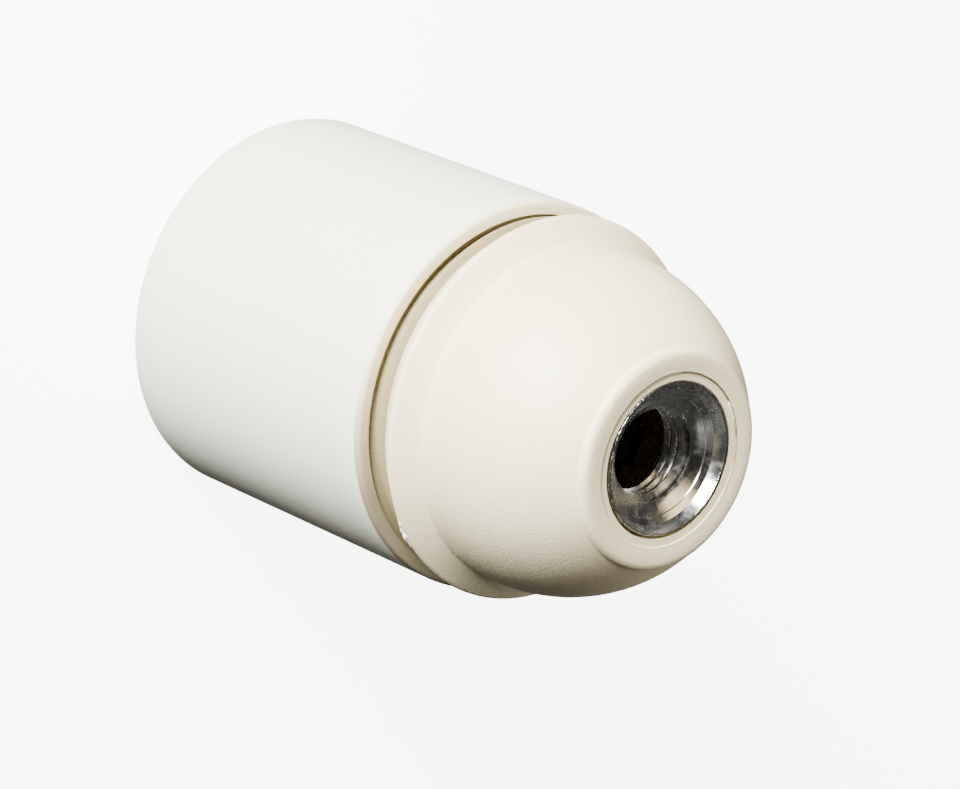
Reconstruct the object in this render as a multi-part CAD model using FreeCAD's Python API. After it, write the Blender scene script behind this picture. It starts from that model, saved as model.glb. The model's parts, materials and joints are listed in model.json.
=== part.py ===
"""E27 pendant lampholder: a thermoplastic shell, a wiring insert and a domed cap with a metal M10 entry.

All lengths are in millimetres. The origin is the centre of the open lamp mouth's rim, and +Z runs
along the axis to the cord entry. The cap is backed off its tight position by one turn, so a little
over one turn of its thread shows above the shell.
"""
import FreeCAD
import Part
import math
import os

V = FreeCAD.Vector
AXIS = V(0, 0, 1)
CUT_PAST = 1.0                # how far a cutting tool runs past the face that it breaks through
SET_IN = 0.3                  # how deep an added rib or ridge is set into the wall that carries it

# ---------------------------------------------------------------- outer shell
shell_rim_r = 20.0            # outside radius at the lamp mouth
shell_draft = 0.25            # the shell is wider by this at the cap end
shell_h = 36.9
shell_wall = 1.3              # wall at the joint thread's roots
shell_wall_low = 1.75         # wall below the thread
shell_rim_round = 0.6
shell_edge_round = 0.35
rim_plate_t = 2.2             # closed ring between the outside wall and the barrel
rib_count = 8
rib_t = 1.2
rib_drop = 2.5                # rib tops lie this far under the barrel's end

# ---------------------------------------------------------------- E27 socket in the shell's barrel
e27_pitch = 3.629
e27_major_r = 13.35
e27_minor_r = 12.25
e27_crest_round = 1.025
e27_ridge_w = 3.2
e27_run_out = 0.1             # plain bore beside either end of the ridge
lead_in_play = 0.55           # plain bore at the rim, wider than the thread
lead_in_h = 4.6
lead_in_round = 0.8
barrel_wall = 1.6
barrel_drop = 9.9             # barrel's end lies this far under the shell's; the insert stands on it
contact_room = 1.15           # bore above the thread, wider than it, for the side contact
contact_bore_h = 7.4

# ---------------------------------------------------------------- joint thread, shell to cap
joint_pitch = 2.5
joint_depth = 0.8
joint_crest_w = 0.45
joint_root_w = 1.35
joint_play = 0.1              # radial play of both threads
joint_seat_gap = 0.1          # left between flare and shell when the cap is tight
male_top_turn = 65.0          # the ridge dies out this many degrees past the side that faces -Y
male_len = 7.5
female_len = 5.7

# ---------------------------------------------------------------- domed cap, heights from the flare's foot
spigot_h = 8.2
spigot_wall = 1.65
collar_h = 3.05               # widest part of the collar
collar_inset = 0.1            # collar's edge, inside the shell's
collar_round = 0.45
shoulder_h = 3.45
shoulder_step = 0.55
shoulder_w = 1.94
dome_base_h = 4.95
dome_arc_r = 19.43            # the dome section's arc, centred past the axis
dome_arc_h = 6.93
dome_wall = 1.8
boss_r = 11.45
boss_h = 22.15
boss_round = 0.8
boss_dish = 0.12              # boss face falls this much to the recess
recess_rim_w = 1.12           # from the entry's edge to the recess's lower edge
recess_slope = 0.08
recess_depth = 0.15
hub_wall = 2.2
hub_end_h = 16.1
cap_rib_count = 4
cap_rib_t = 1.3

# ---------------------------------------------------------------- metal entry in the boss
entry_bore_r = 5.0            # M10 x 1
entry_rim_r = 7.77
entry_proud = 0.07            # rim over the recess's floor
entry_rim_w = 0.25
entry_step_r = 7.0            # the cone is steep down to here
entry_step_drop = 1.14
entry_ring_r = 6.3            # foot of the entry's cone
entry_ring_drop = 1.55
entry_ring_step = 0.12        # small turned step at the cone's foot
entry_mouth_drop = 2.15
entry_mouth_edge = 0.25       # broken edge ahead of the thread
entry_flange_t = 2.75
entry_neck_r = 6.4
entry_lip_w = 1.0             # rolled over the hub's end
entry_chamfer = 0.5
entry_play = 0.04
entry_gap = 0.36              # gap round the flange

# ---------------------------------------------------------------- insert: block and terminals
block_play = 0.5              # radial play inside the spigot
block_h = 11.2
pocket_depth = 3.7
pocket_half_w = 4.0
pocket_end_w = 0.8            # pocket beyond the rivet's head
barrier_t = 1.8
barrier_rise = 1.3
barrier_foot = 1.0
key_w = 4.0
key_depth = 1.1
key_len = 4.0
key_play = 0.2
key_slot_top_h = 2.95         # slot's closed end, above the flare's foot
rivet_r = 1.2
rivet_head_r = 1.9
rivet_head_t = 0.7
rivet_play = 0.05
rivet_bore_r = 0.6
saddle_t = 1.2
saddle_play = 0.3
saddle_corner = 0.8
screw_r = 1.7
screw_head_r = 3.0
screw_head_t = 2.0
screw_head_gap = 0.5          # from the screw's head to the rivet's
screw_slot_w = 0.8
screw_slot_depth = 1.1
screw_len = 8.2
screw_tip = 0.5
screw_play = 0.06
screw_well_play = 0.4
clamp_t = 1.0
clamp_half_x = 3.15
clamp_hole_play = 0.25
clamp_open = 1.2              # gap under the clamp plate for the conductor
clamp_lift = 1.2              # how much further it opens
groove_r = 0.5                # grip grooves under the clamp plate
groove_depth = 0.3

# ---------------------------------------------------------------- insert: lamp contacts
strip_t = 0.5
strip_half_w = 2.5
strip_gap = 0.35              # room round the strip's root for its swing
strip_tail = 1.8              # strip behind its rivet
strip_hole_play = 0.45
nose_drop = 3.6               # centre contact's nose, below its root
nose_r = 1.4
nose_lean = 40.0              # degrees of arc either side of the nose
nose_tail = 1.85
finger_room = 1.9             # side contact's root, inside the barrel's bore
finger_step = 2.0             # from rivet to that root
finger_proud = 0.05           # nose's face, outside the thread's crests
finger_drop = 5.2
finger_tip_drop = 7.0
finger_tip_kick = 0.4
finger_bow = 0.35

# ---------------------------------------------------------------- places worked out from these sizes
shell_mouth_r = shell_rim_r + shell_draft
shell_bore_r = shell_mouth_r - shell_wall
shell_low_bore_r = shell_mouth_r - shell_wall_low
lead_in_r = e27_major_r + lead_in_play
barrel_top_z = shell_h - barrel_drop
contact_bore_r = e27_major_r + contact_room
contact_bore_z = barrel_top_z - contact_bore_h
barrel_low_r = e27_major_r + barrel_wall
barrel_top_r = contact_bore_r + barrel_wall

male_crest_r = shell_bore_r - joint_play
male_core_r = male_crest_r - joint_depth
female_crest_r = male_core_r + joint_play
collar_r = shell_mouth_r - collar_inset
shoulder_r = collar_r - shoulder_step
dome_base_r = shoulder_r - shoulder_w
dome_arc_off = math.sqrt(dome_arc_r ** 2 - (dome_arc_h - dome_base_h) ** 2) - dome_base_r
flare_lean = collar_h / (collar_r - male_core_r)
tight_cap_z = shell_h + joint_seat_gap - flare_lean * (shell_bore_r - male_core_r)
cap_z = tight_cap_z + joint_pitch

recess_top_r = entry_rim_r + recess_rim_w + recess_slope
recess_floor_h = boss_h - boss_dish - recess_depth
entry_top_h = recess_floor_h + entry_proud
entry_seat_h = entry_top_h - entry_flange_t
hub_r = entry_neck_r + hub_wall

spigot_bore_r = male_core_r - spigot_wall
block_r = spigot_bore_r - block_play
block_top_z = barrel_top_z + block_h
pocket_z = block_top_z - pocket_depth
saddle_top_z = pocket_z + saddle_t
clamp_z = saddle_top_z + clamp_open
screw_seat_z = clamp_z + clamp_t
finger_root_x = contact_bore_r - finger_room
rivet_x = finger_root_x - finger_step
screw_x = rivet_x - rivet_head_r - screw_head_gap - screw_head_r
pocket_end_x = rivet_x + rivet_head_r + pocket_end_w
strip_mid_z = barrel_top_z - strip_gap - strip_t / 2
rivet_head_z = strip_mid_z - strip_t / 2 - strip_gap


# ---------------------------------------------------------------- shared operations
def outline(*steps):
    """Closed outline: a tuple is a (radius, height) point, and a list of two an arc's middle and end."""
    start = V(steps[0][0], 0, steps[0][1])
    here = start
    edges = []
    for step in steps[1:] + (steps[0],):
        if isinstance(step, list):
            middle, end = (V(x, 0, z) for x, z in step)
            edges.append(Part.Arc(here, middle, end).toShape())
        else:
            end = V(step[0], 0, step[1])
            edges.append(Part.LineSegment(here, end).toShape())
        here = end
    return Part.Wire(edges)


def turned(*steps):
    """Solid of revolution about the Z axis from a closed outline."""
    return Part.Face(outline(*steps)).revolve(V(0, 0, 0), AXIS, 360)


def arc_points(centre, radius, first, last, count):
    """Points along an arc, its angles in radians from the radial direction."""
    angles = [first + (last - first) * i / (count - 1) for i in range(count)]
    return [(centre[0] + radius * math.cos(a), centre[1] + radius * math.sin(a)) for a in angles]


def round_corner(before, corner, after, radius, count=4):
    """Points along the round that replaces a corner."""
    b, c, a = (V(p[0], p[1], 0) for p in (before, corner, after))
    u = (b - c).normalize()
    w = (a - c).normalize()
    half = math.acos(u.dot(w)) / 2
    centre = c + (u + w).normalize() * (radius / math.sin(half))
    begin = c + u * (radius / math.tan(half)) - centre
    end = c + w * (radius / math.tan(half)) - centre
    first = math.atan2(begin.y, begin.x)
    sweep = (math.atan2(end.y, end.x) - first + math.pi) % (2 * math.pi) - math.pi
    return arc_points((centre.x, centre.y), radius, first, first + sweep, count)


def rod(radius, low, high, x=0.0):
    return Part.makeCylinder(radius, high - low, V(x, 0, low))


def box(x0, x1, y0, y1, z0, z1):
    return Part.makeBox(x1 - x0, y1 - y0, z1 - z0, V(x0, y0, z0))


def around(shape, count, first=0.0):
    """Copies of a shape, evenly spaced round the Z axis."""
    copies = []
    for i in range(count):
        copy = shape.copy()
        copy.rotate(V(0, 0, 0), AXIS, first + i * 360 / count)
        copies.append(copy)
    return copies


def lifted(shape, height):
    shape.translate(V(0, 0, height))
    return shape


def extruded(points, half_w):
    """Section drawn as (x, z) points, extruded both ways along Y."""
    corners = [V(x, -half_w, z) for x, z in points]
    wire = Part.makePolygon(corners + corners[:1])
    return Part.Face(wire).extrude(V(0, 2 * half_w, 0))


def helical_ridge(section, radius, pitch, low, high, angle):
    """A thread's ridge: its section, drawn about height zero at `radius`, swept up a right-hand helix."""
    spine = Part.makeHelix(pitch, high - low, radius)
    ridge = Part.Wire(spine.Edges).makePipeShell([section], True, True)
    ridge.rotate(V(0, 0, 0), AXIS, angle)
    return lifted(ridge, low)


# ---------------------------------------------------------------- joint thread
def joint_angle(z):
    """Angle at which the cap's ridge passes height z; it faces -Y at the flare's foot."""
    return (z - cap_z) / joint_pitch * 360 - 90


def joint_section(root_r, crest_r):
    """Trapezium across the joint thread, its root set into the wall."""
    flank = (joint_root_w - joint_crest_w) / 2 / abs(crest_r - root_r)
    deep_r = root_r - math.copysign(SET_IN, crest_r - root_r)
    deep_half = joint_root_w / 2 + flank * SET_IN
    half = joint_crest_w / 2
    return outline((deep_r, -deep_half), (crest_r, -half), (crest_r, half), (deep_r, deep_half))


def male_ridge():
    high = cap_z + male_top_turn / 360 * joint_pitch
    low = high - male_len
    section = joint_section(male_core_r, male_crest_r)
    return helical_ridge(section, male_core_r, joint_pitch, low, high, joint_angle(low))


def female_ridge():
    """Mating ridge, half a pitch from the cap's; it ends under the tight cap's flare."""
    high = tight_cap_z - joint_root_w / 2
    low = high - female_len
    section = joint_section(shell_bore_r, female_crest_r)
    angle = joint_angle(low + joint_pitch / 2)
    return helical_ridge(section, shell_bore_r, joint_pitch, low, high, angle)


# ---------------------------------------------------------------- outer shell
def e27_section():
    """Edison ridge: a round crest that runs into round roots, its ends set just past the wall."""
    wall = e27_major_r + 0.04
    half = e27_ridge_w / 2
    crest_centre = e27_minor_r + e27_crest_round
    rise = wall - crest_centre
    root_round = (half ** 2 + rise ** 2 - e27_crest_round ** 2) / (2 * (e27_crest_round + rise))
    lean = math.atan2(crest_centre - (wall - root_round), half)
    crest = arc_points((crest_centre, 0), e27_crest_round, 3 * math.pi / 2 - lean,
                       math.pi / 2 + lean, 6)
    upper = arc_points((wall - root_round, half), root_round, lean - math.pi / 2, 0, 3)[1:]
    lower = [(r, -z) for r, z in reversed(upper)]
    back = e27_major_r + barrel_wall / 3
    return outline(*lower, *crest, *upper, (back, half), (back, -half))


def e27_ridge():
    half = e27_ridge_w / 2 + e27_run_out
    low = lead_in_h + lead_in_play + half
    high = contact_bore_z - contact_room - half
    return helical_ridge(e27_section(), e27_major_r, e27_pitch, low, high, 0)


def outer_shell():
    rim, mouth = (shell_rim_r, 0), (shell_mouth_r, shell_h)
    lead, lead_top = (lead_in_r, 0), (lead_in_r, lead_in_h)
    step_z = barrel_top_z + SET_IN
    body = turned(*round_corner(lead, rim, mouth, shell_rim_round),
                  *round_corner(rim, mouth, (shell_bore_r, shell_h), shell_edge_round),
                  (shell_bore_r, shell_h), (shell_bore_r, step_z),
                  (shell_low_bore_r, step_z), (shell_low_bore_r, rim_plate_t),
                  (barrel_low_r, rim_plate_t), (barrel_low_r, contact_bore_z - 2 * contact_room),
                  (barrel_top_r, contact_bore_z - contact_room), (barrel_top_r, barrel_top_z),
                  (contact_bore_r, barrel_top_z), (contact_bore_r, contact_bore_z),
                  (e27_major_r, contact_bore_z - contact_room),
                  (e27_major_r, lead_in_h + lead_in_play),
                  lead_top, *round_corner(lead_top, lead, rim, lead_in_round))
    rib = box(barrel_low_r - SET_IN, shell_low_bore_r + SET_IN, -rib_t / 2, rib_t / 2,
              rim_plate_t - SET_IN, barrel_top_z - rib_drop)
    body = body.fuse(around(rib, rib_count, 180 / rib_count)).removeSplitter()
    return body.fuse(e27_ridge()).fuse(female_ridge())


# ---------------------------------------------------------------- domed cap
def dome_r(h, inset=0.0):
    return math.sqrt((dome_arc_r - inset) ** 2 - (h - dome_arc_h) ** 2) - dome_arc_off


def dome_h(r, inset=0.0):
    return dome_arc_h + math.sqrt((dome_arc_r - inset) ** 2 - (r + dome_arc_off) ** 2)


def dome_cap():
    """Spigot, flared collar, dome and boss in one moulding, drawn from the flare's foot."""
    flare, collar = (male_core_r, 0), (collar_r, collar_h)
    shoulder = (shoulder_r, shoulder_h)
    base, foot = (dome_base_r, dome_base_h), (boss_r, dome_h(boss_r))
    boss, dish = (boss_r, boss_h), (recess_top_r, boss_h - boss_dish)
    floor_r = recess_top_r - recess_slope
    seat_r = entry_rim_r + entry_gap
    neck_r = entry_neck_r + entry_play
    middle_h = (base[1] + foot[1]) / 2
    roof_h = dome_h(boss_r, dome_wall)
    wall_low_h = dome_base_h + dome_wall / 4
    inside = [wall_low_h + (roof_h - wall_low_h) * t for t in (1.0, 0.8, 0.55, 0.25, 0.0)]
    body = turned((male_core_r, -spigot_h), flare,
                  *round_corner(flare, collar, shoulder, collar_round), shoulder, base,
                  [(dome_r(middle_h), middle_h), foot],
                  *round_corner(foot, boss, dish, boss_round), dish,
                  (floor_r, recess_floor_h), (seat_r, recess_floor_h), (seat_r, entry_seat_h),
                  (neck_r, entry_seat_h), (neck_r, hub_end_h), (hub_r, hub_end_h), (hub_r, roof_h),
                  *((dome_r(h, dome_wall), h) for h in inside),
                  (spigot_bore_r, dome_base_h - dome_wall), (spigot_bore_r, -spigot_h))
    rib_end_h = hub_end_h + entry_lip_w
    rib = extruded([(hub_r - SET_IN, rib_end_h), (hub_r - SET_IN, roof_h + SET_IN),
                    (boss_r - SET_IN, roof_h + SET_IN),
                    (dome_r(rib_end_h, dome_wall) + SET_IN, rib_end_h)], cap_rib_t / 2)
    body = body.fuse(around(rib, cap_rib_count, 180 / cap_rib_count))
    slot_half = key_w / 2 + key_play
    slot = box(-slot_half, slot_half, 0, block_r + key_depth + key_play,
               -spigot_h - CUT_PAST, key_slot_top_h)
    body = body.cut(around(slot, 2)).removeSplitter()
    return lifted(body, cap_z).fuse(male_ridge())


def entry_bush():
    """Turned metal bush: a stepped cone in a thin rim, a plain M10 bore and a rolled end."""
    ring_h = entry_top_h - entry_ring_drop
    mouth_h = entry_top_h - entry_mouth_drop
    end_h = hub_end_h - entry_chamfer * 2
    lip_r = entry_neck_r + entry_lip_w
    rim = entry_rim_w / 4
    body = turned((entry_rim_r, entry_top_h - rim), (entry_rim_r - rim, entry_top_h),
                  (entry_rim_r - entry_rim_w + rim, entry_top_h),
                  (entry_rim_r - entry_rim_w, entry_top_h - rim),
                  (entry_step_r, entry_top_h - entry_step_drop),
                  (entry_ring_r + entry_ring_step / 2, ring_h + entry_ring_step / 2),
                  (entry_ring_r, ring_h - entry_ring_step / 2),
                  (entry_bore_r + entry_mouth_edge, mouth_h),
                  (entry_bore_r, mouth_h - entry_mouth_edge),
                  (entry_bore_r, end_h + entry_chamfer), (entry_bore_r + entry_chamfer, end_h),
                  (lip_r - entry_chamfer, end_h), (lip_r, end_h + entry_chamfer),
                  (lip_r, hub_end_h), (entry_neck_r, hub_end_h),
                  (entry_neck_r, entry_seat_h), (entry_rim_r, entry_seat_h))
    return lifted(body, cap_z)


# ---------------------------------------------------------------- insert: block and terminals
LIVE, NEUTRAL = 1, -1


def on_side(shape, side):
    """The live pole's pieces are drawn at +X, and turned half a turn for the neutral pole."""
    if side == NEUTRAL:
        shape.rotate(V(0, 0, 0), AXIS, 180)
    return shape


def terminal_block():
    """Moulded block with two keys, a pocket for each terminal and a barrier between them."""
    barrier_top = block_top_z + barrier_rise
    body = rod(block_r, barrel_top_z, block_top_z)
    key = box(-key_w / 2, key_w / 2, 0, block_r + key_depth, block_top_z - key_len, block_top_z)
    barrier_half = pocket_half_w + barrier_foot
    barrier = box(-barrier_t / 2, barrier_t / 2, -barrier_half, barrier_half, pocket_z, barrier_top)
    body = body.fuse(around(key, 2) + [barrier])
    well_end_z = screw_seat_z - screw_len - clamp_lift - clamp_t
    for side in (LIVE, NEUTRAL):
        cuts = (box(barrier_t / 2, pocket_end_x, -pocket_half_w, pocket_half_w, pocket_z,
                    barrier_top + CUT_PAST),
                rod(rivet_r + rivet_play, barrel_top_z - CUT_PAST, pocket_z + CUT_PAST, rivet_x),
                rod(screw_r + screw_well_play, well_end_z, pocket_z + CUT_PAST, screw_x))
        body = body.cut([on_side(cut, side) for cut in cuts])
    return body.removeSplitter()


def terminal_saddle(side):
    """Brass plate on the pocket's floor, with the rivet's hole and the screw's tapped hole."""
    half_w = pocket_half_w - saddle_play
    plate = box(barrier_t / 2 + saddle_play, pocket_end_x - saddle_play, -half_w, half_w,
                pocket_z, saddle_top_z)
    uprights = [e for e in plate.Edges if abs(e.tangentAt(e.FirstParameter).z) > 0.9]
    plate = plate.makeFillet(saddle_corner, uprights)
    holes = [rod(rivet_r + rivet_play, pocket_z - CUT_PAST, saddle_top_z + CUT_PAST, rivet_x),
             rod(screw_r + screw_play, pocket_z - CUT_PAST, saddle_top_z + CUT_PAST, screw_x)]
    return on_side(plate.cut(holes), side)


def contact_rivet(side):
    """Hollow rivet: head under the contact strip, shank through block and saddle, rolled top."""
    low = rivet_head_z - rivet_head_t
    high = saddle_top_z + rivet_head_t
    heads = [rod(rivet_head_r, low, rivet_head_z, rivet_x),
             rod(rivet_head_r, saddle_top_z, high, rivet_x)]
    body = rod(rivet_r, low, high, rivet_x).fuse(heads)
    body = body.cut(rod(rivet_bore_r, low - CUT_PAST, high + CUT_PAST, rivet_x))
    return on_side(body.removeSplitter(), side)


def clamp_plate(side):
    """Plate that the screw presses on the conductor, with two grip grooves under it."""
    half_w = pocket_half_w - saddle_play
    x0, x1 = screw_x - clamp_half_x, screw_x + clamp_half_x
    plate = box(x0, x1, -half_w, half_w, clamp_z, screw_seat_z)
    centre_z = clamp_z + groove_depth - groove_r
    for y in (-half_w * 0.72, half_w * 0.72):
        groove = Part.makeCylinder(groove_r, x1 - x0 + 2 * CUT_PAST,
                                   V(x0 - CUT_PAST, y, centre_z), V(1, 0, 0))
        plate = plate.cut(groove)
    hole = rod(screw_r + clamp_hole_play, clamp_z - CUT_PAST, screw_seat_z + CUT_PAST, screw_x)
    return on_side(plate.cut(hole), side)


def clamp_screw(side):
    """Slotted cheese-head screw; its fine thread is left plain."""
    end_z = screw_seat_z - screw_len
    top_z = screw_seat_z + screw_head_t
    edge = screw_head_t / 6
    body = turned((0, end_z), (screw_r - screw_tip, end_z), (screw_r, end_z + screw_tip),
                  (screw_r, screw_seat_z), (screw_head_r, screw_seat_z),
                  (screw_head_r, top_z - edge), (screw_head_r - edge, top_z), (0, top_z))
    reach = screw_head_r + CUT_PAST
    body = body.cut(box(-reach, reach, -screw_slot_w / 2, screw_slot_w / 2,
                        top_z - screw_slot_depth, top_z + CUT_PAST))
    body.translate(V(screw_x, 0, 0))
    return on_side(body, side)


# ---------------------------------------------------------------- insert: lamp contacts
def strip(points):
    """Bent strip of even thickness along a line of (x, z) points, mitred at its bends."""
    upper, lower = [], []
    last = len(points) - 1
    for i, (x, z) in enumerate(points):
        into = V(x - points[i - 1][0], 0, z - points[i - 1][1]) if i else None
        out = V(points[i + 1][0] - x, 0, points[i + 1][1] - z) if i < last else None
        into, out = (into or out).normalize(), (out or into).normalize()
        along = (into + out).normalize()
        reach = strip_t / 2 / along.dot(out)
        upper.append((x - along.z * reach, z + along.x * reach))
        lower.append((x + along.z * reach, z - along.x * reach))
    return extruded(upper + lower[::-1], strip_half_w)


def rivet_hole(side):
    return rod(rivet_r + strip_hole_play, strip_mid_z - CUT_PAST, strip_mid_z + CUT_PAST,
               side * rivet_x)


def centre_contact():
    """Leaf from the live rivet to a rounded nose on the axis."""
    lean = math.radians(nose_lean)
    nose = arc_points((0, strip_mid_z - nose_drop + nose_r), nose_r,
                      lean - math.pi / 2, -lean - math.pi / 2, 5)
    tail = (nose[-1][0] - nose_tail * math.cos(lean), nose[-1][1] + nose_tail * math.sin(lean))
    flat_end = rivet_x - rivet_head_r - strip_gap
    leaf = strip([(rivet_x + strip_tail, strip_mid_z), (flat_end, strip_mid_z), *nose, tail])
    return leaf.cut(rivet_hole(LIVE))


def side_contact():
    """Bent finger that hangs from the neutral rivet inside the barrel."""
    top = strip_mid_z
    nose_x = -(e27_minor_r + finger_proud + strip_t / 2)
    knee = (-finger_root_x - finger_bow, top - strip_t)
    waist = (nose_x - finger_bow, top - finger_drop * 0.6)
    leaf = strip([(-rivet_x + strip_tail, top), (-finger_root_x, top), knee, waist,
                  (nose_x, top - finger_drop), (nose_x - finger_tip_kick, top - finger_tip_drop)])
    return leaf.cut(rivet_hole(NEUTRAL))


# ---------------------------------------------------------------- parts by node name
NODES = {
    "outer_shell": outer_shell(),
    "dome_cap": dome_cap(),
    "entry_bush": entry_bush(),
    "terminal_block": terminal_block(),
    "centre_contact": centre_contact(),
    "side_contact": side_contact(),
}
for pole, side in (("live", LIVE), ("neutral", NEUTRAL)):
    NODES[f"{pole}_saddle"] = terminal_saddle(side)
    NODES[f"{pole}_rivet"] = contact_rivet(side)
    NODES[f"{pole}_clamp"] = clamp_plate(side)
    NODES[f"{pole}_screw"] = clamp_screw(side)

os.makedirs("parts", exist_ok=True)
for name, shape in NODES.items():
    solids = shape.Solids
    if len(solids) == 1:
        shape = solids[0]
    print(f"{name:16s} solids {len(solids)}  valid {shape.isValid()}  volume {shape.Volume:9.2f} mm3")
    shape.exportStep(f"parts/{name}.step")
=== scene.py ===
# %% [markdown]
# A pendant lamp holder for an E27 lamp: a white moulded shell, a cream domed cap and a plated metal
# entry for the cord's tube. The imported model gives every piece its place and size, and this notebook
# gives them their finish, their fine thread and the small marks that moulding and turning leave.

# %% Load the frame
import json
import math
import random
import bmesh
import bpy
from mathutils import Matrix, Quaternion, Vector


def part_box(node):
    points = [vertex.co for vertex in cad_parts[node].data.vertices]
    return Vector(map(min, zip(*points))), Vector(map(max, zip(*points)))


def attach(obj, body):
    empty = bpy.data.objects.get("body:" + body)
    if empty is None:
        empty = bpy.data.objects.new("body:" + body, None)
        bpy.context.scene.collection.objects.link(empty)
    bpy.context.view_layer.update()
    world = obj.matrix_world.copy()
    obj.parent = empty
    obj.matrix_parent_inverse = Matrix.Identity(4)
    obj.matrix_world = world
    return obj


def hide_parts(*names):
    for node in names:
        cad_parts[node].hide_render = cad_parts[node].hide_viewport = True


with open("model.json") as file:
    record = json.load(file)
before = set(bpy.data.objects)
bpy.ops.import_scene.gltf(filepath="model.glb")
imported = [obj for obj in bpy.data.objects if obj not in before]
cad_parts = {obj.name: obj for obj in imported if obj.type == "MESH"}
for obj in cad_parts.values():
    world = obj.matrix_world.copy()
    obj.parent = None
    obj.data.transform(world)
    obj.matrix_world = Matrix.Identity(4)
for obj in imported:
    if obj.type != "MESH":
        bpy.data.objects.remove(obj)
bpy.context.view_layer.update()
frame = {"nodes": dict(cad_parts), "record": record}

MM = 0.001
nodes = frame["nodes"]
print("nodes:", sorted(nodes))

# %% [markdown]
# The camera stands high in front of the holder and is rolled, so that the holder seems to lie on its
# side with the cord entry towards us. A long lens from over half a metre keeps its sides nearly
# parallel. The floor is plain and pale, and one large soft light does most of the work.

# %% Camera
ELEVATION = math.radians(45.39)
ROLL = math.radians(112.41)
DISTANCE = 0.6035
AIM = Vector((0.0011, 0, 0.0323))
SIDEWAYS = 0.00183      # the line of sight leans this little to one side
LENS = 223.6

camera = bpy.data.objects.new("camera", bpy.data.cameras.new("camera"))
bpy.context.scene.collection.objects.link(camera)
bpy.context.scene.camera = camera
sight = Vector((SIDEWAYS, math.cos(ELEVATION), -math.sin(ELEVATION))).normalized()
camera.location = AIM - sight * DISTANCE
camera.rotation_mode = "QUATERNION"
camera.rotation_quaternion = sight.to_track_quat("-Z", "Y") @ Quaternion((0, 0, 1), ROLL)
camera.data.sensor_width = 36
camera.data.lens = LENS
camera.data.clip_start = 0.01
print("camera at", tuple(round(x, 4) for x in camera.location))


# %% Colours and node helpers
def linear(hex_colour):
    """Linear RGBA from an sRGB hex value."""
    channels = [int(hex_colour[i:i + 2], 16) / 255 for i in (1, 3, 5)]
    return tuple(c / 12.92 if c <= 0.04045 else ((c + 0.055) / 1.055) ** 2.4 for c in channels) + (1,)


def add(tree, kind, settings=None, **inputs):
    """Adds a node, sets its properties and its inputs; an input that is a socket is linked."""
    node = tree.nodes.new(kind)
    for name, value in (settings or {}).items():
        setattr(node, name, value)
    for name, value in inputs.items():
        key = int(name[1:]) if name[0] == "i" and name[1:].isdigit() else name.replace("_", " ")
        if isinstance(value, bpy.types.NodeSocket):
            tree.links.new(value, node.inputs[key])
        else:
            node.inputs[key].default_value = value
    return node


def product(tree, a, b, **settings):
    """Socket with the product of two values."""
    return add(tree, "ShaderNodeMath", {"operation": "MULTIPLY", **settings}, i0=a, i1=b).outputs[0]


def from_axis(tree, place):
    """Distance from the holder's axis."""
    flat = add(tree, "ShaderNodeVectorMath", {"operation": "MULTIPLY"}, i0=place, i1=(1, 1, 0))
    length = add(tree, "ShaderNodeVectorMath", {"operation": "LENGTH"}, i0=flat.outputs[0])
    return length.outputs["Value"]


def new_material(name):
    """Empty node material with its output, ready for a shader."""
    material = bpy.data.materials.new(name)
    material.use_nodes = True
    tree = material.node_tree
    tree.nodes.clear()
    output = tree.nodes.new("ShaderNodeOutputMaterial")
    return material, tree, output


# %% [markdown]
# Both plastics are moulded thermoplastic polyester. A flat colour would look like paper, and a
# drawn-on texture would show seams, so noise in object space is used: it follows the piece and never
# repeats. The tool was spark eroded, which leaves a fine even grain, and slow cooling leaves slight
# waves under it. The shell's batch is a cooler white than the cap's.

# %% Moulded plastic
GRAIN = 0.24 * MM       # drawn over twice as coarse as eroded grain, so that it shows
SINK = 5.0 * MM
SINK_DEPTH = 0.02 * MM
CLOUD = 9.0 * MM
GLOSS = 0.8             # above the default, as the skin is closed and waxy
SPECK_CELL = 4.0 * MM   # one cell in nine holds a burnt granule
SPECK = 0.07 * MM


def marked(tree, tone, measure, low, high, blur, colour, strength=1.0):
    """Colour that turns to another where a measure lies between two values."""
    rise = add(tree, "ShaderNodeMapRange", {"interpolation_type": "SMOOTHSTEP"}, Value=measure,
               From_Min=low - blur, From_Max=low, To_Min=0.0, To_Max=1.0)
    fall = add(tree, "ShaderNodeMapRange", {"interpolation_type": "SMOOTHSTEP"}, Value=measure,
               From_Min=high, From_Max=high + blur, To_Min=1.0, To_Max=0.0)
    inside = product(tree, rise.outputs["Result"], fall.outputs["Result"])
    amount = product(tree, inside, strength)
    mixed = add(tree, "ShaderNodeMix", {"data_type": "RGBA"}, Factor=amount, i6=tone, i7=linear(colour))
    return mixed.outputs[2]


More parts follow.
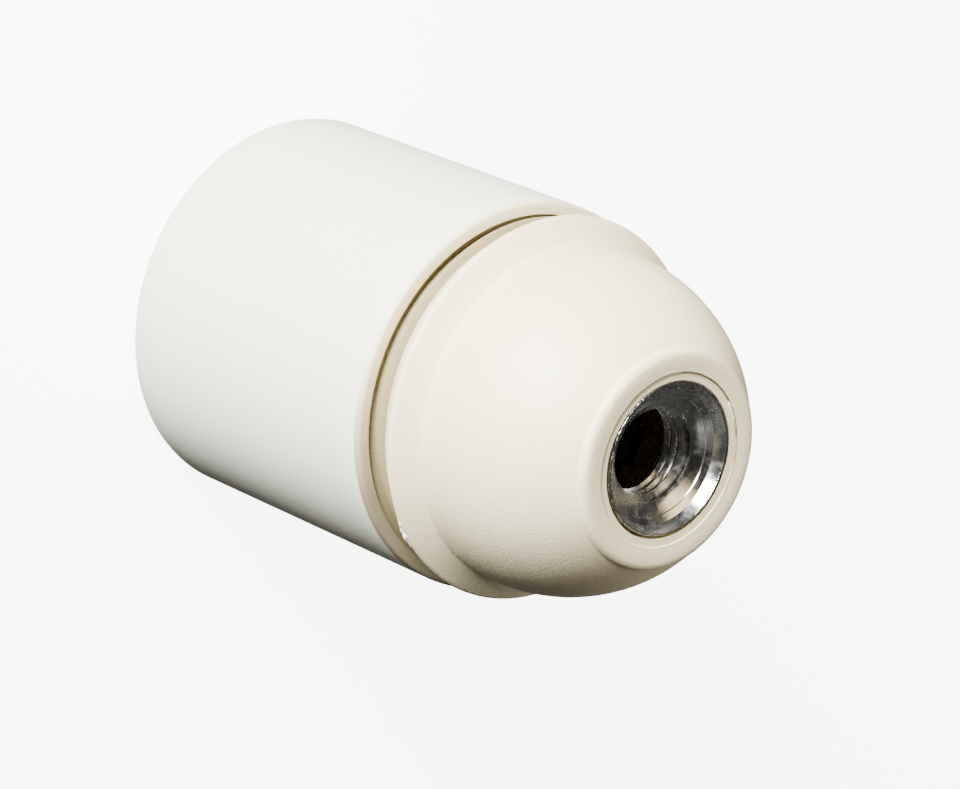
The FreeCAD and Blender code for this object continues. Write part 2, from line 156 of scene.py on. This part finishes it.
def moulded_plastic(name, colour, shade, roughness, grain_depth, shade_and_marks=None):
    """Thermoplastic: soft cloudy colour, burnt specks, eroded grain and faint sink waves."""
    material, tree, output = new_material(name)
    place = add(tree, "ShaderNodeTexCoord").outputs["Object"]
    cloud = add(tree, "ShaderNodeTexNoise", Vector=place, Scale=1 / CLOUD, Detail=3.0)
    tone = add(tree, "ShaderNodeMix", {"data_type": "RGBA"}, Factor=cloud.outputs["Fac"],
               i6=linear(shade), i7=linear(colour)).outputs[2]
    # Optional bands: painted shade in the joint on the shell and the cap, and the cap's seam line with
    # its painted shadow
    if shade_and_marks:
        tone = shade_and_marks(tree, place, tone)
    cell = add(tree, "ShaderNodeTexVoronoi", Vector=place, Scale=1 / SPECK_CELL)
    rare = add(tree, "ShaderNodeMath", {"operation": "GREATER_THAN"}, i0=cell.outputs["Color"], i1=0.6)
    tone = marked(tree, tone, cell.outputs["Distance"], -1.0, SPECK / SPECK_CELL,
                  0.3 * SPECK / SPECK_CELL, "#6E6350", rare.outputs[0])
    grain = add(tree, "ShaderNodeTexNoise", Vector=place, Scale=1 / GRAIN, Detail=2.0)
    sink = add(tree, "ShaderNodeTexNoise", Vector=place, Scale=1 / SINK, Detail=1.0)
    gloss = add(tree, "ShaderNodeMapRange", Value=grain.outputs["Fac"],
                To_Min=roughness - 0.06, To_Max=roughness + 0.08)
    waves = add(tree, "ShaderNodeBump", Strength=0.25, Distance=SINK_DEPTH,
                Height=sink.outputs["Fac"])
    skin = add(tree, "ShaderNodeBump", Strength=0.8, Distance=grain_depth,
               Height=grain.outputs["Fac"], Normal=waves.outputs["Normal"])
    plastic = add(tree, "ShaderNodeBsdfPrincipled", Base_Color=tone,
                  Roughness=gloss.outputs["Result"], IOR=1.5, Normal=skin.outputs["Normal"])
    plastic.inputs["Specular IOR Level"].default_value = GLOSS
    tree.links.new(plastic.outputs["BSDF"], output.inputs["Surface"])
    return material


# %% [markdown]
# Shade is painted into the joint between shell and cap. Tan and khaki bands stand in for the crevice's
# shade and the warm light bounced in it. On the shell the band darkens on the +X side, which the key
# light leaves in shade.
# A brown line lies in the seam round the boss, where two parts of the mould met. Its strength is
# painted shadow of the seam's small step: strong on the -X side and faint towards +X. They are bands in
# the piece's own coordinates: height for the joint, distance from the axis for the seam.

# %% Painted joint shade and the seam line on the shell and the cap
SHELL_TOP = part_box("outer_shell")[1][2]
# Top of the painted shade band over the cap's spigot, in the joint
JOINT_SHADE_TOP = SHELL_TOP + 2.0 * MM
SEAM_R = 8.97 * MM
SEAM_BLUR = 0.07 * MM
PATCH = 1.6 * MM
BOSS_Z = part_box("dome_cap")[1][2]


def shell_joint_shade(tree, place, tone):
    """Painted shade and bounced warm light on the shell's end and inside its mouth, darker towards +X
    where the key light leaves it in shade.
    """
    split = add(tree, "ShaderNodeSeparateXYZ", Vector=place)
    # Painted bounce light and shade: a light tan band over the shell's end and mouth, in the joint
    tone = marked(tree, tone, split.outputs["Z"], SHELL_TOP - 0.35 * MM, SHELL_TOP + 1 * MM, 0.25 * MM,
                  "#E2D3A6", 0.8)
    # Painted shade: a dark tan band that grows towards +X, the side the key light leaves in shade
    shaded_side = add(tree, "ShaderNodeMapRange", Value=split.outputs["X"], From_Min=2 * MM,
                From_Max=15 * MM, To_Min=0.0, To_Max=0.85)
    return marked(tree, tone, split.outputs["Z"], SHELL_TOP - 0.6 * MM, SHELL_TOP + 1 * MM, 0.3 * MM,
                  "#746A4C", shaded_side.outputs["Result"])


def cap_joint_shade_and_seam(tree, place, tone):
    """Painted shade on the cap's spigot in the joint, and the brown seam line on its boss, painted
    strongest on the -X side as the step's shadow.
    """
    split = add(tree, "ShaderNodeSeparateXYZ", Vector=place)
    # Painted shade: a dark khaki band over the spigot and all of the cap below the joint's top
    tone = marked(tree, tone, split.outputs["Z"], 0.0, JOINT_SHADE_TOP, 0.5 * MM, "#7C6D47", 0.9)
    # Painted shadow: the seam line is strong on the -X side and faint towards +X, as the step's shadow
    # falls; the line itself is the dark seam
    seam_shadow_side = add(tree, "ShaderNodeMapRange", Value=split.outputs["X"], From_Min=-8 * MM,
                From_Max=8 * MM, To_Min=0.85, To_Max=0.1)
    patchy = add(tree, "ShaderNodeTexNoise", Vector=place, Scale=1 / PATCH, Detail=3.0)
    strength = product(tree, seam_shadow_side.outputs["Result"], patchy.outputs["Fac"])
    raised = product(tree, strength, 2.3, use_clamp=True)
    on_boss = add(tree, "ShaderNodeMath", {"operation": "GREATER_THAN"}, i0=split.outputs["Z"],
                  i1=BOSS_Z - 0.6 * MM)
    line = product(tree, raised, on_boss.outputs[0])
    return marked(tree, tone, from_axis(tree, place), SEAM_R - 0.06 * MM, SEAM_R + 0.05 * MM,
                  SEAM_BLUR, "#6B5433", line)


shell_plastic = moulded_plastic("moulded polyester, cool white", "#EEEEDC", "#EAEAD5", 0.48,
                                0.03 * MM, shell_joint_shade)
cap_plastic = moulded_plastic("moulded polyester, warm cream", "#EBDEB6", "#E7DAAD", 0.52,
                              0.06 * MM, cap_joint_shade_and_seam)
torn_plastic = moulded_plastic("moulded polyester, torn white", "#FBF8EE", "#F5EFE0", 0.7, 0.05 * MM)
block_plastic = moulded_plastic("moulded thermoset, ivory", "#DAD6C9", "#D2CDBF", 0.65, 0.03 * MM)
print("plastics:", shell_plastic.name, "|", cap_plastic.name)

# %% [markdown]
# The entry bush is turned steel with a thin zinc plate. The lathe leaves rings round its axis, and
# deburring in a tumbler leaves short streaks that run in and out. Both are too fine to draw at their
# real size, so they are drawn as wide as they need to be to show. The rim is where the tumbler hits
# hardest, so it is bruised and rough.

# %% Metals
RING = 0.12 * MM
STREAK = 0.10 * MM
BRUISE = 0.28 * MM
BRUISE_EDGE = 0.2 * MM  # the bruises grow to full depth over this width
SMEAR = 0.9 * MM
CUP_R = 7.0 * MM        # streaks have their stated width at this radius
STREAK_STRETCH = 0.12   # streaks run about eight times as long as wide
RING_DRIFT = 0.2 * MM   # how far the rings' pattern shifts for each radian
NO_RIM = 1.0            # a radius that no piece reaches, so no bruises


def turned_metal(name, colour, roughness, ring_depth, rim_from=NO_RIM, rim_depth=0.0):
    """Plated metal with lathe rings, streaks across them, smears and, past a radius, bruises."""
    material, tree, output = new_material(name)
    place = add(tree, "ShaderNodeTexCoord").outputs["Object"]
    split = add(tree, "ShaderNodeSeparateXYZ", Vector=place)
    radius = from_axis(tree, place)
    turn = add(tree, "ShaderNodeMath", {"operation": "ARCTAN2"}, i0=split.outputs["Y"],
               i1=split.outputs["X"])
    ring_place = add(tree, "ShaderNodeCombineXYZ", X=radius, Y=split.outputs["Z"],
                     Z=product(tree, turn.outputs[0], RING_DRIFT))
    rings = add(tree, "ShaderNodeTexNoise", Vector=ring_place.outputs[0], Scale=1 / RING, Detail=3.0)
    streak_place = add(tree, "ShaderNodeCombineXYZ", X=product(tree, turn.outputs[0], CUP_R),
                       Y=product(tree, radius, STREAK_STRETCH))
    streaks = add(tree, "ShaderNodeTexNoise", Vector=streak_place.outputs[0], Scale=1 / STREAK,
                  Detail=2.0)
    smear = add(tree, "ShaderNodeTexNoise", Vector=place, Scale=1 / SMEAR, Detail=4.0)
    gloss = add(tree, "ShaderNodeMapRange", Value=smear.outputs["Fac"], From_Min=0.3, From_Max=0.7,
                To_Min=roughness * 0.6, To_Max=roughness * 1.6)
    cut = add(tree, "ShaderNodeBump", Strength=0.6, Distance=ring_depth, Height=rings.outputs["Fac"])
    scratched = add(tree, "ShaderNodeBump", Strength=0.5, Distance=ring_depth,
                    Height=streaks.outputs["Fac"], Normal=cut.outputs["Normal"])
    at_rim = add(tree, "ShaderNodeMapRange", Value=radius, From_Min=rim_from,
                 From_Max=rim_from + BRUISE_EDGE, To_Min=0.0, To_Max=1.0)
    knocks = add(tree, "ShaderNodeTexNoise", Vector=place, Scale=1 / BRUISE, Detail=3.0)
    knock = product(tree, knocks.outputs["Fac"], at_rim.outputs["Result"])
    bruised = add(tree, "ShaderNodeBump", Strength=1.0, Distance=rim_depth, Height=knock,
                  Normal=scratched.outputs["Normal"])
    metal = add(tree, "ShaderNodeBsdfPrincipled", Base_Color=linear(colour), Metallic=1.0,
                Roughness=gloss.outputs["Result"], Normal=bruised.outputs["Normal"])
    tree.links.new(metal.outputs["BSDF"], output.inputs["Surface"])
    return material


plated_steel = turned_metal("zinc plated steel, turned", "#C4C4C0", 0.2, 0.012 * MM,
                            rim_from=7.45 * MM, rim_depth=0.10 * MM)
screw_steel = turned_metal("zinc plated steel, rolled", "#C3C1BA", 0.3, 0.008 * MM)
brass = turned_metal("rolled brass", "#C9A45C", 0.3, 0.006 * MM)
bronze = turned_metal("phosphor bronze strip", "#C08E5C", 0.28, 0.006 * MM)
print("metals:", plated_steel.name, "|", brass.name)

# %% [markdown]
# The three pieces that show are copied from the frame with their corners merged, so that the light
# rolls over their rounds and breaks only at real edges. The pieces inside keep the frame's own mesh.

# %% Smooth copies of the outside pieces
FINISH = {
    "outer_shell": (shell_plastic, "shell_plastic"),
    "dome_cap": (cap_plastic, "cap_plastic"),
    "entry_bush": (plated_steel, "entry_metal"),
}
BODY_OF = {n: b for b, members in frame["record"]["behaviour"]["bodies"].items() for n in members}


def press_rim(bm, rim_r=7.6 * MM, top=0.7 * MM, reach=0.3 * MM, side=math.radians(-170)):
    """Spreads the bush's rim until it touches the recess on one side, as pressing it in did."""
    highest = max(v.co.z for v in bm.verts)
    for v in bm.verts:
        if math.hypot(v.co.x, v.co.y) > rim_r and v.co.z > highest - top:
            lean = max(0.0, math.cos(math.atan2(v.co.y, v.co.x) - side)) ** 0.5
            v.co.xy *= 1 + reach * lean / math.hypot(v.co.x, v.co.y)


def smooth_copy(node, material, crease=math.radians(32)):
    """Copy of a node's mesh with shared corners, smooth but for edges sharper than the crease."""
    bm = bmesh.new()
    bm.from_mesh(nodes[node].data)
    bmesh.ops.remove_doubles(bm, verts=bm.verts, dist=0.0005 * MM)
    if node == "entry_bush":
        press_rim(bm)
    for face in bm.faces:
        face.smooth = True
    for edge in bm.edges:
        edge.smooth = len(edge.link_faces) == 2 and edge.calc_face_angle(0) < crease
    mesh = bpy.data.meshes.new(f"{node}_skin")
    bm.to_mesh(mesh)
    bm.free()
    mesh.materials.append(material)
    piece = bpy.data.objects.new(f"{node}_skin", mesh)
    bpy.context.scene.collection.objects.link(piece)
    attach(piece, BODY_OF[node])
    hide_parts(node)
    print(f"{piece.name}: {len(mesh.polygons)} faces, {len(mesh.vertices)} corners")
    return piece


for node, (material, slot) in FINISH.items():
    smooth_copy(node, material)

# %% Finish of the pieces inside
INSIDE = {
    "terminal_block": block_plastic,
    "live_saddle": brass, "neutral_saddle": brass,
    "live_rivet": brass, "neutral_rivet": brass,
    "live_clamp": screw_steel, "neutral_clamp": screw_steel,
    "live_screw": screw_steel, "neutral_screw": screw_steel,
    "centre_contact": bronze, "side_contact": bronze,
}
for node, material in INSIDE.items():
    for i in range(len(nodes[node].material_slots)):
        nodes[node].material_slots[i].material = material
print("pieces inside:", len(INSIDE))

# %% [markdown]
# The bush's M10 thread has turns one millimetre apart and flanks at sixty degrees. It could be cut as
# a solid, but a ridge that lies on the bore's wall looks the same and costs a tenth of the faces.
# Geometry Nodes sweep its section up a helix, so pitch, depth and length stay plain inputs.

# %% Thread of the cord entry
ENTRY = next(m for m in frame["record"]["mounts"] if m["name"] == "cord_entry")
BORE_R = ENTRY["dims"]["r_mm"] * MM
BORE_LOW = ENTRY["pos_m"][2] - ENTRY["dims"]["length_mm"] / 2 * MM
BORE_HIGH = ENTRY["pos_m"][2] + ENTRY["dims"]["length_mm"] / 2 * MM
PITCH = 1.0 * MM
THREAD_DEPTH = 0.54 * MM
CREST = 0.16 * MM
FOOT_SHARE = 0.49       # half the ridge's foot, as a share of the pitch
STEPS = 144             # sections in the helix's sweep, for each turn
CREASE = math.radians(25)


def thread_tree():
    """Geometry Nodes tree: a ridge with sloping flanks swept up a helix inside a bore."""
    tree = bpy.data.node_groups.new("bore_thread", "GeometryNodeTree")
    for name in ("Bore Radius", "Pitch", "Turns", "Depth", "Crest", "Low"):
        tree.interface.new_socket(name, in_out="INPUT", socket_type="NodeSocketFloat")
    tree.interface.new_socket("Geometry", in_out="OUTPUT", socket_type="NodeSocketGeometry")
    size = tree.nodes.new("NodeGroupInput").outputs
    rise = product(tree, size["Pitch"], size["Turns"])
    spiral = add(tree, "GeometryNodeCurveSpiral", Resolution=STEPS, Rotations=size["Turns"],
                 Start_Radius=size["Bore Radius"], End_Radius=size["Bore Radius"],
                 Height=rise)
    upright = add(tree, "GeometryNodeSetCurveNormal", {"mode": "Z_UP"}, Curve=spiral.outputs["Curve"])
    foot = product(tree, size["Pitch"], FOOT_SHARE)
    tip = product(tree, size["Crest"], 0.5)
    foot_low = product(tree, foot, -1.0)
    tip_low = product(tree, tip, -1.0)
    section = add(tree, "GeometryNodeCurvePrimitiveQuadrilateral", {"mode": "POINTS"},
                  Point_1=add(tree, "ShaderNodeCombineXYZ", Y=foot_low).outputs[0],
                  Point_2=add(tree, "ShaderNodeCombineXYZ", Y=foot).outputs[0],
                  Point_3=add(tree, "ShaderNodeCombineXYZ", X=size["Depth"], Y=tip).outputs[0],
                  Point_4=add(tree, "ShaderNodeCombineXYZ", X=size["Depth"], Y=tip_low).outputs[0])
    swept = add(tree, "GeometryNodeCurveToMesh", Curve=upright.outputs["Curve"],
                Profile_Curve=section.outputs["Curve"])
    swept.inputs["Fill Caps"].default_value = True
    lift = add(tree, "ShaderNodeCombineXYZ", Z=size["Low"])
    placed = add(tree, "GeometryNodeTransform", Geometry=swept.outputs["Mesh"],
                 Translation=lift.outputs[0])
    real = add(tree, "GeometryNodeRealizeInstances", Geometry=placed.outputs["Geometry"])
    coat = add(tree, "GeometryNodeSetMaterial", Geometry=real.outputs["Geometry"])
    coat.inputs["Material"].default_value = plated_steel
    end = tree.nodes.new("NodeGroupOutput")
    tree.links.new(coat.outputs["Geometry"], end.inputs["Geometry"])
    return tree


def made_by(tree, name, **sizes):
    """Plain mesh piece from a Geometry Nodes tree, its inputs set by name."""
    carrier = bpy.data.objects.new(name, bpy.data.meshes.new(name))
    bpy.context.scene.collection.objects.link(carrier)
    modifier = carrier.modifiers.new("make", "NODES")
    modifier.node_group = tree
    for item in tree.interface.items_tree:
        key = item.name.replace(" ", "_")
        if item.item_type == "SOCKET" and item.in_out == "INPUT" and key in sizes:
            modifier[item.identifier] = sizes[key]
    bpy.context.view_layer.update()
    depsgraph = bpy.context.evaluated_depsgraph_get()
    mesh = bpy.data.meshes.new_from_object(carrier.evaluated_get(depsgraph))
    carrier.modifiers.clear()
    bm = bmesh.new()
    bm.from_mesh(mesh)
    for face in bm.faces:
        face.smooth = True
    for edge in bm.edges:
        edge.smooth = len(edge.link_faces) == 2 and edge.calc_face_angle(0) < CREASE
    bm.to_mesh(mesh)
    bm.free()
    carrier.data = mesh
    print(f"{name}: {len(mesh.polygons)} faces")
    return carrier


turns = (BORE_HIGH - BORE_LOW) / PITCH - 0.35
thread = made_by(thread_tree(), "entry_thread", Bore_Radius=BORE_R, Pitch=PITCH, Turns=turns,
                 Depth=THREAD_DEPTH, Crest=CREST, Low=BORE_LOW + 0.05 * PITCH)
bore_reach = [math.hypot(v.co.x, v.co.y) / MM for v in thread.data.vertices]
print(f"thread radius {min(bore_reach):.2f} to {max(bore_reach):.2f} mm, {turns:.1f} turns")
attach(thread, "cap")

# %% [markdown]
# Two slivers of flash were torn and not trimmed: one on the collar's lower edge, where the thread's
# ridge runs out, and one on the boss's seam. Flash is ragged and never the same twice, so each is a
# tube along an arc whose rings are pushed about by seeded noise, closed to a point at its ends.

# %% Slivers of flash
def sliver(name, radius, height, start, end, thickness, peak, seed, spread=1.0, rings=13, around=8):
    """Ragged closed tube along an arc round the axis, angles in degrees, thickest at its peak."""
    pick = random.Random(seed)
    bm = bmesh.new()
    loops = []
    for i in range(rings):
        t = i / (rings - 1)
        swell = (t / peak if t < peak else (1 - t) / (1 - peak)) ** 0.7
        size = thickness * max(0.04, swell * pick.uniform(0.6, 1.15))
        angle = math.radians(start + (end - start) * t)
        r, z = radius + pick.uniform(-0.2, 0.2) * size, height + pick.uniform(-0.4, 0.4) * size
        loop = []
        for k in range(around):
            turn = 2 * math.pi * k / around
            push = size * pick.uniform(0.75, 1.2)
            rr = r + spread * push * math.cos(turn)
            loop.append(bm.verts.new((rr * math.cos(angle), rr * math.sin(angle),
                                      z + push * math.sin(turn))))
        loops.append(loop)
    for a, b in zip(loops, loops[1:]):
        for k in range(around):
            n = (k + 1) % around
            bm.faces.new((a[k], a[n], b[n], b[k]))
    bm.faces.new(loops[0])
    bm.faces.new(reversed(loops[-1]))
    bmesh.ops.recalc_face_normals(bm, faces=bm.faces)
    for face in bm.faces:
        face.smooth = True
    mesh = bpy.data.meshes.new(name)
    bm.to_mesh(mesh)
    bm.free()
    mesh.materials.append(torn_plastic)
    piece = bpy.data.objects.new(name, mesh)
    bpy.context.scene.collection.objects.link(piece)
    smooth_out = piece.modifiers.new("rounded", "SUBSURF")
    smooth_out.levels = smooth_out.render_levels = 2
    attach(piece, "cap")
    print(f"{name}: {len(mesh.polygons)} faces before rounding")
    return piece


sliver("collar_flash", 19.93 * MM, 41.0 * MM, -40, -27.5, 0.42 * MM, 0.7, 5)
sliver("seam_flash", SEAM_R, BOSS_Z - 0.19 * MM, 151, 130, 0.13 * MM, 0.3, 9, spread=2.2)

# %% [markdown]
# The studio is a plain pale table and soft lights. The table is opal acrylic lit from below, as for
# catalogue work, so it stays white round the holder. It is kept from lighting the holder, which would
# otherwise lose its shaded side. The key light is a square soft box, low and to the left.

# %% Table
table_mesh = bpy.data.meshes.new("table")
HALF = 1.5              # metres, far past the frame
GLOW = 7.0
table_mesh.from_pydata([(-HALF, -HALF, 0), (HALF, -HALF, 0), (HALF, HALF, 0), (-HALF, HALF, 0)], [],
                       [(0, 1, 2, 3)])
table = bpy.data.objects.new("table", table_mesh)
bpy.context.scene.collection.objects.link(table)
acrylic, tree, output = new_material("opal acrylic, lit from below")
haze = add(tree, "ShaderNodeTexNoise", Scale=6.0,
           Vector=add(tree, "ShaderNodeTexCoord").outputs["Object"])
tone = add(tree, "ShaderNodeMix", {"data_type": "RGBA"}, Factor=haze.outputs["Fac"],
           i6=linear("#F2F2F0"), i7=linear("#F6F6F5"))
sheet = add(tree, "ShaderNodeBsdfPrincipled", Base_Color=tone.outputs[2], Roughness=0.9,
            Emission_Color=linear("#FFFFFF"), Emission_Strength=GLOW)
tree.links.new(sheet.outputs["BSDF"], output.inputs["Surface"])
table_mesh.materials.append(acrylic)
table.visible_diffuse = False
table.visible_glossy = False


# %% Lights
HALF_HEIGHT = 30 * MM   # of the holder


def soft_box(name, azimuth, elevation, width, height, power, distance=0.9):
    """Area light on a sphere round the holder, at angles in degrees, that faces the holder."""
    a, e = math.radians(azimuth), math.radians(elevation)
    middle = Vector((0, 0, HALF_HEIGHT))
    out = Vector((math.cos(e) * math.cos(a), math.cos(e) * math.sin(a), math.sin(e)))
    data = bpy.data.lights.new(name, "AREA")
    data.shape = "RECTANGLE"
    data.size, data.size_y = width, height
    data.energy = power
    light = bpy.data.objects.new(name, data)
    bpy.context.scene.collection.objects.link(light)
    light.location = middle + out * distance
    light.rotation_mode = "QUATERNION"
    light.rotation_quaternion = (-out).to_track_quat("-Z", "Y")
    return light


soft_box("key", -113, 12, 0.45, 0.45, 66)
back = soft_box("back_fill", 110, 35, 0.6, 0.4, 4)
back.visible_glossy = False
warm = soft_box("warm_fill", 180, 62, 0.38, 0.38, 2.0)
warm.data.color = linear("#FFE6B8")[:3]
card = soft_box("card", 35, 64, 0.4, 0.3, 0.3)
card.visible_diffuse = False    # a card overhead that only shines in the metal

# %% Studio walls
# The walls are pale and the ceiling is dark, so that metal which faces up stays dark.
world = bpy.data.worlds.new("studio")
bpy.context.scene.world = world
world.use_nodes = True
room = world.node_tree
backdrop = room.nodes["Background"]
upward = add(room, "ShaderNodeSeparateXYZ", Vector=add(room, "ShaderNodeTexCoord").outputs["Generated"])
ceiling = add(room, "ShaderNodeMapRange", Value=upward.outputs["Z"], From_Min=0.1, From_Max=0.9,
              To_Min=0.11, To_Max=0.03)
room.links.new(ceiling.outputs["Result"], backdrop.inputs["Strength"])
backdrop.inputs["Color"].default_value = linear("#FFFDF8")
